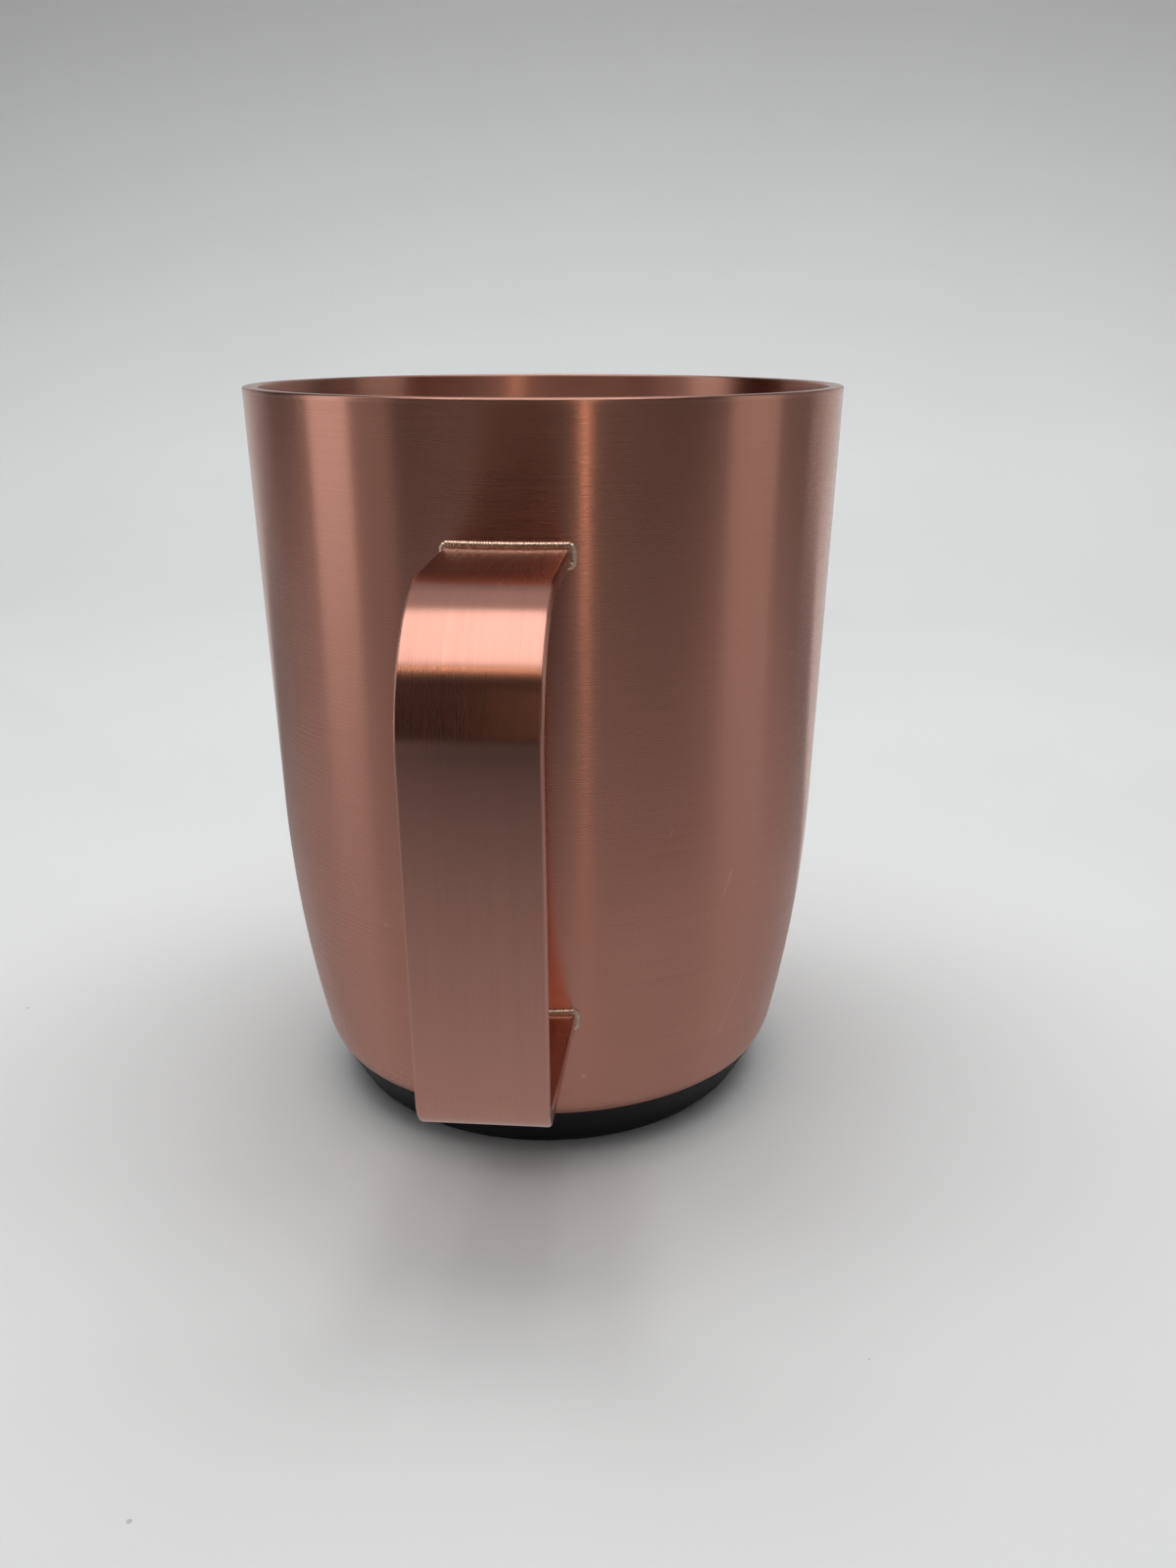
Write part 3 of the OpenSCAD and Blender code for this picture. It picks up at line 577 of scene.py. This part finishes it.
def strapPath(shape):
    # the middle of the bar as (reach, height) points, from the upper root to the lower one
    half = shape["thick"] / 2
    top, low = Vector(shape["topCorner"]), Vector(shape["lowCorner"])
    topDir = Vector((math.cos(math.radians(shape["topSlope"])), -math.sin(math.radians(shape["topSlope"]))))
    lowDir = Vector((-math.cos(math.radians(shape["lowSlope"])), -math.sin(math.radians(shape["lowSlope"]))))
    gripDir = (low - top).normalized()

    def moved(corner, first, second):
        return corner + (second - first).normalized() * half / math.cos(math.acos(first.dot(second)) / 2)

    top, low = moved(top, topDir, gripDir), moved(low, gripDir, lowDir)
    upper = bendPoints(top, topDir, gripDir, shape["topBend"] - half, 40)
    lower = bendPoints(low, gripDir, lowDir, shape["lowBend"] - half, 22)
    rootUp = sideRadius(top.y) - shape["intoSide"]
    rootLow = sideRadius(low.y - 0.003) - shape["intoSide"]
    first = top - topDir * (top.x - rootUp) / topDir.x
    last = low + lowDir * (low.x - rootLow) / -lowDir.x
    run = [upper[-1].lerp(lower[0], i / 24) for i in range(1, 24)]
    lead = [first.lerp(upper[0], i / 8) for i in range(8)]
    tail = [lower[-1].lerp(last, i / 10) for i in range(1, 11)]
    return lead + upper + run + lower + tail


def roundedBar(width, thick, radius, steps=5):
    points = []
    for sx, sy, start in ((1, 1, 0), (-1, 1, 90), (-1, -1, 180), (1, -1, 270)):
        centre = (sx * (width / 2 - radius), sy * (thick / 2 - radius))
        points += arc(centre, radius, start, start + 90, steps)
    return points


strapLow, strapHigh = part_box("handle_strap")
strapWidth = strapHigh.x - strapLow.x
barPath = strapPath(strapShape)


def makeStrap(shape):
    path = [Vector((0, -p.x, p.y)) for p in barPath]
    bar = roundedBar(strapWidth, shape["thick"], shape["edge"])
    piece = addPiece("strap", swept(path, lambda t: bar), "copper_strap")
    sharpen(piece, 60)
    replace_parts(piece, "handle_strap")


makeStrap(strapShape)

# weld beads: a rippled bead round each end of the strap, lying on the shell
beadShape = {"radius": 0.00056, "ripple": 0.13, "pitch": 0.00042, "stepsRound": 640, "sides": 12,
             "stand": 0.00022}


def makeBead(name, centre, slope, shape, replaced):
    outline = roundedBar(strapWidth + 2 * shape["stand"], strapShape["thick"] + 2 * shape["stand"], 0.0007, 8)
    loop = [Vector((x, 0, centre + z / math.cos(math.radians(slope)))) for x, z in outline]
    lengths = [(loop[(i + 1) % len(loop)] - p).length for i, p in enumerate(loop)]
    total = sum(lengths)
    points = []
    for k in range(shape["stepsRound"]):
        along, i = total * k / shape["stepsRound"], 0
        while along > lengths[i]:
            along -= lengths[i]
            i += 1
        flat = loop[i].lerp(loop[(i + 1) % len(loop)], along / lengths[i])
        points.append(Vector((flat.x, -math.sqrt(sideRadius(flat.z) ** 2 - flat.x ** 2), flat.z)))
    bm = bmesh.new()
    rings = []
    for k, point in enumerate(points):
        ahead = (points[(k + 1) % len(points)] - points[k - 1]).normalized()
        outward = Vector((point.x, point.y, 0)).normalized()
        across = ahead.cross(outward).normalized()
        outward = across.cross(ahead).normalized()
        travel = total * k / shape["stepsRound"]
        scale = abs(math.sin(math.pi * travel / shape["pitch"]))
        swell = 1 - shape["ripple"] + shape["ripple"] * scale
        radius = shape["radius"] * (swell + random.uniform(-0.05, 0.05))
        angles = [2 * math.pi * s / shape["sides"] for s in range(shape["sides"])]
        flat = across * radius * 1.15
        tall = outward * radius
        rings.append([bm.verts.new(point + flat * math.cos(a) + tall * math.sin(a)) for a in angles])
    for lower, upper in zip(rings, rings[1:] + rings[:1]):
        for s in range(shape["sides"]):
            t = (s + 1) % shape["sides"]
            bm.faces.new((lower[s], lower[t], upper[t], upper[s]))
    piece = addPiece(name, bm, "weld_metal")
    if replaced:
        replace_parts(piece, "handle_welds")


makeBead("weld_upper", barPath[0].y, strapShape["topSlope"], beadShape, True)
makeBead("weld_lower", barPath[-1].y, strapShape["lowSlope"], beadShape, False)
print("strap and welds made")

# start button: a bezel seated on the curved side, and a dished cap that slides in it
buttonShape = {"flangeRound": 0.0007, "boreEase": 0.0004, "boreGap": 0.00005, "stemRadius": 0.002,
               "wall": 0.002, "barrel": 0.0014, "seat": 0.0003, "capRound": 0.0009, "dish": 0.00045,
               "segments": 120}


def turnedAboutY(outline, centreZ, segments, closed=True):
    bm = turned(outline, segments, closed)
    for vertex in bm.verts:
        x, z, y = vertex.co
        vertex.co = (x, y, centreZ + z)
    return bm


def makeButton(shape):
    low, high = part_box("button_cap")
    bezelLow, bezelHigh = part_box("button_bezel")
    centreZ, bore = (low.z + high.z) / 2, (high.x - low.x) / 2 + shape["boreGap"]
    face, flange, back = bezelHigh.y, (bezelHigh.x - bezelLow.x) / 2, bezelLow.y
    floor, barrel, ease = back + shape["wall"], bore - shape["boreGap"] + shape["barrel"], shape["boreEase"]
    stem, roundness = shape["stemRadius"], shape["flangeRound"]
    outline = [(flange, 0), (flange, face - roundness * 1.6)]
    outline += arc((flange - roundness, face - roundness), roundness, 0, 90, 6)
    outline += [(bore + ease * 2.2, face)] + arc((bore + ease, face - ease), ease, 90, 180, 5)
    outline += [(bore, floor), (stem + shape["boreGap"], floor), (stem + shape["boreGap"], back)]
    outline += [(barrel, back), (barrel, floor), (barrel, 0)]
    bm = turnedAboutY(outline, centreZ, shape["segments"])
    for vertex in bm.verts:
        if vertex.co.y < 0.001:
            reach = sideRadius(vertex.co.z) - shape["seat"]
            vertex.co.y = math.sqrt(reach ** 2 - vertex.co.x ** 2)
    bezel = addPiece("bezel_ring", bm, "copper_bezel")
    sharpen(bezel, 40)
    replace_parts(bezel, "button_bezel")
    radius, face, edge, dish = (high.x - low.x) / 2, high.y, shape["capRound"], shape["dish"]
    capBack = floor + 0.0026
    crown = [(radius - edge) * (1 - i / 12) for i in range(13)]
    outline = [(0, low.y), (stem - 0.0003, low.y), (stem, low.y + 0.0003), (stem, capBack)]
    outline += [(radius - 0.0003, capBack), (radius, capBack + 0.0003), (radius, face - edge * 1.5)]
    outline += arc((radius - edge, face - edge), edge, 0, 90, 7)
    outline += [(r, face - dish * (1 - (r / (radius - edge)) ** 2) ** 1.5) for r in crown[1:]]
    bm = turnedAboutY(outline, centreZ, shape["segments"], closed=False)
    cap = addPiece("button_face", bm, "black_button", body="button")
    sharpen(cap, 40)
    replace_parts(cap, "button_cap")


makeButton(buttonShape)
print("button made")

# whisk coil: one wire wound round the ring
coilShape = {"turns": 78, "stepsPerTurn": 20, "wire": 0.0003, "sides": 8}


def makeCoil(shape):
    low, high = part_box("whisk_coil")
    centreZ, winding = (low.z + high.z) / 2, (high.z - low.z) / 2 - shape["wire"]
    ring = (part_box("whisk_ring")[1].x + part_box("whisk_ring")[1].x) / 2 - 0.0009
    count = shape["turns"] * shape["stepsPerTurn"]
    points = []
    for k in range(count):
        around, turn = 2 * math.pi * k / count, 2 * math.pi * k / shape["stepsPerTurn"]
        reach = ring + winding * math.cos(turn)
        height = centreZ + winding * math.sin(turn)
        points.append(Vector((reach * math.cos(around), reach * math.sin(around), height)))
    bm = bmesh.new()
    rings = []
    for k, point in enumerate(points):
        ahead = (points[(k + 1) % count] - points[k - 1]).normalized()
        around = 2 * math.pi * k / count
        middle = Vector((ring * math.cos(around), ring * math.sin(around), centreZ))
        outward = (point - middle).normalized()
        across = ahead.cross(outward).normalized()
        outward = across.cross(ahead)
        angles = [2 * math.pi * s / shape["sides"] for s in range(shape["sides"])]
        rings.append([bm.verts.new(point + (across * math.cos(a) + outward * math.sin(a)) * shape["wire"])
                      for a in angles])
    for lower, upper in zip(rings, rings[1:] + rings[:1]):
        for s in range(shape["sides"]):
            t = (s + 1) % shape["sides"]
            bm.faces.new((lower[s], lower[t], upper[t], upper[s]))
    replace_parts(addPiece("whisk_winding", bm, "whisk_steel", body="whisk"), "whisk_coil")


makeCoil(coilShape)
print("whisk wound")

# stage: a pale floor that rises into a wall behind the jug and in front of it, closed at both sides
stageShape = {"bendStart": 0.42, "bend": 0.35, "top": 1.1, "half": 1.4, "sideHalf": 0.8}


def makeSweep(name, profile, half, material):
    bm = bmesh.new()
    rows = [[bm.verts.new((x, y, z)) for x in (-half, 0, half)] for y, z in profile]
    for near, far in zip(rows, rows[1:]):
        for i in range(2):
            bm.faces.new((near[i], near[i + 1], far[i + 1], far[i]))
    mesh = bpy.data.meshes.new(name)
    bm.to_mesh(mesh)
    bm.free()
    sweep = bpy.data.objects.new(name, mesh)
    scene.collection.objects.link(sweep)
    mesh.polygons.foreach_set("use_smooth", [True] * len(mesh.polygons))
    mesh.materials.append(material)
    return sweep


floorLook = {
    "pale": (0.70, 0.712, 0.71),
    "paler": (0.755, 0.768, 0.768),
    "top": (0.33, 0.328, 0.332),      # painted shade: the wall darkens to this as it climbs
    "paintedShadeRise": (0.06, 0.42),
    "mottle": 9,
    "cells": 55,                      # one speck at most in each cell
    "speck": 0.021,
    "speckShare": 0.72,
    "speckFade": 0.5,
    "speckColour": (0.3, 0.27, 0.24),
    "roughness": 0.62,
}


def makeFloorMaterial(look):
    material, tree, links, shader = newMaterial("sweep_card")
    place = tree.new("ShaderNodeTexCoord").outputs["Object"]
    mottle = noiseNode(tree, links, place, look["mottle"], 4.0)
    lower = mixColour(tree, links, mottle, look["pale"], look["paler"])
    height = tree.new("ShaderNodeSeparateXYZ")
    links.new(place, height.inputs[0])
    # painted shade: the pale floor colour darkens with height up the wall
    paintedShadeRise = rangeNode(tree, links, height.outputs["Z"], look["paintedShadeRise"][0], look["paintedShadeRise"][1], 0, 1)
    paintedShadeGraded = mixColour(tree, links, paintedShadeRise, lower, look["top"])
    cells = tree.new("ShaderNodeTexVoronoi")
    cells.inputs["Scale"].default_value = look["cells"]
    links.new(place, cells.inputs["Vector"])
    dot = mathNode(tree, links, "LESS_THAN", cells.outputs["Distance"], look["speck"])
    picked = tree.new("ShaderNodeSeparateColor")
    links.new(cells.outputs["Color"], picked.inputs["Color"])
    few = mathNode(tree, links, "GREATER_THAN", picked.outputs["Red"], look["speckShare"])
    speck = mathNode(tree, links, "MULTIPLY", dot, few)
    marks = mathNode(tree, links, "MULTIPLY", speck, look["speckFade"])
    links.new(mixColour(tree, links, marks, paintedShadeGraded, look["speckColour"]), shader.inputs["Base Color"])
    shader.inputs["Roughness"].default_value = look["roughness"]
    clear = tree.new("ShaderNodeBsdfTransparent")     # the floor can be looked through from below
    chosen = tree.new("ShaderNodeMixShader")
    links.new(tree.new("ShaderNodeNewGeometry").outputs["Backfacing"], chosen.inputs[0])
    links.new(shader.outputs[0], chosen.inputs[1])
    links.new(clear.outputs[0], chosen.inputs[2])
    links.new(chosen.outputs[0], tree["Material Output"].inputs["Surface"])
    return material


def makeStage(shape, look):
    start, bend = shape["bendStart"], shape["bend"]
    turns = [math.radians(a) for a in range(6, 91, 6)]
    rise = [(start + bend * math.sin(a), bend * (1 - math.cos(a))) for a in turns]
    rise.append((rise[-1][0], shape["top"]))
    material = makeFloorMaterial(look)
    level = [(-start, 0.0), (-0.1, 0.0), (0.1, 0.0), (start, 0.0)]
    makeSweep("sweep", level + rise, shape["half"], material)
    facing = [(-y, z) for y, z in reversed(rise)] + [(-start, 0.0)]
    front = makeSweep("front_wall", facing, shape["half"], material)
    front.visible_glossy = False
    upright = [(-shape["half"], shape["top"]), (-shape["half"], 0.0)]
    for name, turn in (("left_wall", -90), ("right_wall", 90)):     # seen directly, but they light nothing
        wall = makeSweep(name, upright, shape["sideHalf"], material)
        wall.rotation_euler.z = math.radians(turn)
        for ray in ("glossy", "diffuse", "shadow", "transmission"):
            setattr(wall, "visible_" + ray, False)


makeStage(stageShape, floorLook)


def softLight(name, place, target, size, power, colour=(1, 1, 1)):
    light = bpy.data.lights.new(name, "AREA")
    light.shape = "RECTANGLE"
    light.size, light.size_y = size
    light.energy = power
    light.color = colour
    lamp = bpy.data.objects.new(name, light)
    scene.collection.objects.link(lamp)
    lamp.location = place
    lamp.rotation_euler = (Vector(target) - Vector(place)).to_track_quat("-Z", "Y").to_euler()
    return lamp


# lamps light the floor and backdrop; the metal mirrors only the cards below
lamps = [
    softLight("overhead", (0.0, -0.02, 1.2), (0, 0.05, 0), (1.2, 1.0), 9.6),
    softLight("back_wash", (0.0, 0.1, 0.8), (0, 0.6, 0.0), (1.3, 0.3), 3.0),
]
for lamp in lamps:
    lamp.visible_glossy = False

# upright cards round the jug: heading in degrees from behind the handle, width, height, brightness, colour
cards = {
    "left_band": (-76, 20, (0.0, 0.55), 1.0, (1, 0.97, 0.95)),
    "left_fill": (-70, 44, (0.0, 0.5), 0.3, (1, 0.9, 0.84)),
    "right_band": (87, 24, (0.0, 0.5), 0.55, (1, 0.95, 0.9)),
    "right_fill": (98, 44, (0.0, 0.45), 0.2, (1, 0.95, 0.93)),
    "warm_lamp": (20, 1, (0.06, 0.4), 8.0, (1, 0.7, 0.48)),
}
# flat cards: middle, size, brightness, colour
flatCards = {
    "ceiling_panel": ((0.0, -0.2, 0.6), (0.7, 0.5), 2.0, (1, 0.95, 0.93)),
    "ceiling_dim": ((0.0, 0.2, 0.6), (0.7, 0.3), 0.5, (1, 0.9, 0.88)),
    "ceiling_strip": ((0.0, -0.5, 0.6), (0.7, 0.016), 6.0, (1, 0.66, 0.38)),
}


def addCard(name, rows, light, colour):
    bm = bmesh.new()
    grid = [[bm.verts.new(point) for point in row] for row in rows]
    for near, far in zip(grid, grid[1:]):
        for i in range(len(near) - 1):
            bm.faces.new((near[i], near[i + 1], far[i + 1], far[i]))
    mesh = bpy.data.meshes.new(name)
    bm.to_mesh(mesh)
    bm.free()
    panel = bpy.data.objects.new(name, mesh)
    scene.collection.objects.link(panel)
    material, tree, links, shader = newMaterial(name)
    shader.inputs["Base Color"].default_value = (0, 0, 0, 1)
    shader.inputs["Specular IOR Level"].default_value = 0
    shader.inputs["Emission Color"].default_value = (*colour, 1)
    shader.inputs["Emission Strength"].default_value = light
    mesh.materials.append(material)
    for ray in ("camera", "diffuse", "shadow", "transmission"):
        setattr(panel, "visible_" + ray, False)
    return material, tree, links, shader


for index, (name, (heading, width, rise, light, colour)) in enumerate(cards.items()):
    reach = 0.5 + 0.01 * index
    turns = [math.radians(heading + width * (i / 12 - 0.5)) for i in range(13)]
    rows = [[(reach * math.sin(a), -reach * math.cos(a), height) for a in turns] for height in rise]
    addCard(name, rows, light, colour)
for name, ((x, y, z), (width, depth), light, colour) in flatCards.items():
    rows = [[(x + i * width / 2, y + j * depth / 2, z) for i in (-1, 1)] for j in (-1, 1)]
    addCard(name, rows, light, colour)

# a sheet lies on the floor all round, seen only in the metal: a painted reflection of the floor with painted
# shade, so the metal doesn't mirror a bright floor: dim at the quarters, lighter to both sides, painted
# shadow darkest in front, one even level close to the jug
paintedFloorShade = {"inner": 0.045, "fade": (0.12, 0.27), "outer": 0.9, "from": -138, "to": 138,
        "close": 0.43, "quarter": 0.19, "side": 0.45, "front": 0.05, "tint": (1, 0.96, 0.97),
        "sideSharp": 8.0, "frontSharp": 16.0, "steps": 46, "rise": 0.0006}


# painted reflection of the floor: a glowing sheet seen only by the metal, its painted shade set by heading
# and distance
def makePaintedFloorShade(shape):
    steps = shape["steps"]
    whole = shape["to"] - shape["from"]
    turns = [math.radians(shape["from"] + whole * i / steps) for i in range(steps + 1)]
    rows = [[(r * math.sin(a), -r * math.cos(a), shape["rise"]) for a in turns]
            for r in (shape["inner"], *shape["fade"], shape["outer"])]
    material, tree, links, shader = addCard("painted_floor_shade", rows, 1, shape["tint"])
    place = tree.new("ShaderNodeTexCoord").outputs["Object"]
    heading = tree.new("ShaderNodeVectorMath")
    heading.operation = "NORMALIZE"
    links.new(place, heading.inputs[0])
    parts = tree.new("ShaderNodeSeparateXYZ")
    links.new(heading.outputs["Vector"], parts.inputs[0])
    across = mathNode(tree, links, "ABSOLUTE", parts.outputs["X"])
    sideways = mathNode(tree, links, "POWER", across, shape["sideSharp"])
    forward = mathNode(tree, links, "MULTIPLY", parts.outputs["Y"], -1.0)
    ahead = mathNode(tree, links, "MAXIMUM", forward, 0.0)
    ahead = mathNode(tree, links, "POWER", ahead, shape["frontSharp"])
    away = tree.new("ShaderNodeVectorMath")
    away.operation = "LENGTH"
    links.new(place, away.inputs[0])
    level = rangeNode(tree, links, sideways, 0, 1, shape["quarter"], shape["side"])
    # painted shadow: the sheet's glow is dimmed most straight in front of the jug
    dimming = rangeNode(tree, links, ahead, 0, 1, 1, shape["front"] / shape["quarter"])
    level = mathNode(tree, links, "MULTIPLY", level, dimming)
    nearness = rangeNode(tree, links, away.outputs["Value"], shape["fade"][0], shape["fade"][1], 1, 0)
    blend = tree.new("ShaderNodeMix")
    links.new(nearness, blend.inputs["Factor"])
    links.new(level, blend.inputs[2])
    blend.inputs[3].default_value = shape["close"]
    links.new(blend.outputs[0], shader.inputs["Emission Strength"])


makePaintedFloorShade(paintedFloorShade)

# a room round the jug: pale to look at, soft on the floor, and dim where the metal mirrors it
roomLook = {"seen": (0.66, 0.67, 0.675), "soft": (0.22, 0.22, 0.22), "mirrored": (0.022, 0.013, 0.01)}


def makeRoom(look):
    world = bpy.data.worlds.new("room")
    world.use_nodes = True
    tree, links = world.node_tree.nodes, world.node_tree.links
    rays = tree.new("ShaderNodeLightPath")
    soft = mixColour(tree, links, rays.outputs["Is Camera Ray"], look["soft"], look["seen"])
    room = mixColour(tree, links, rays.outputs["Is Glossy Ray"], soft, look["mirrored"])
    links.new(room, tree["Background"].inputs["Color"])
    return world


scene.world = makeRoom(roomLook)
scene.view_settings.view_transform = "Standard"
print("stage and lights set")
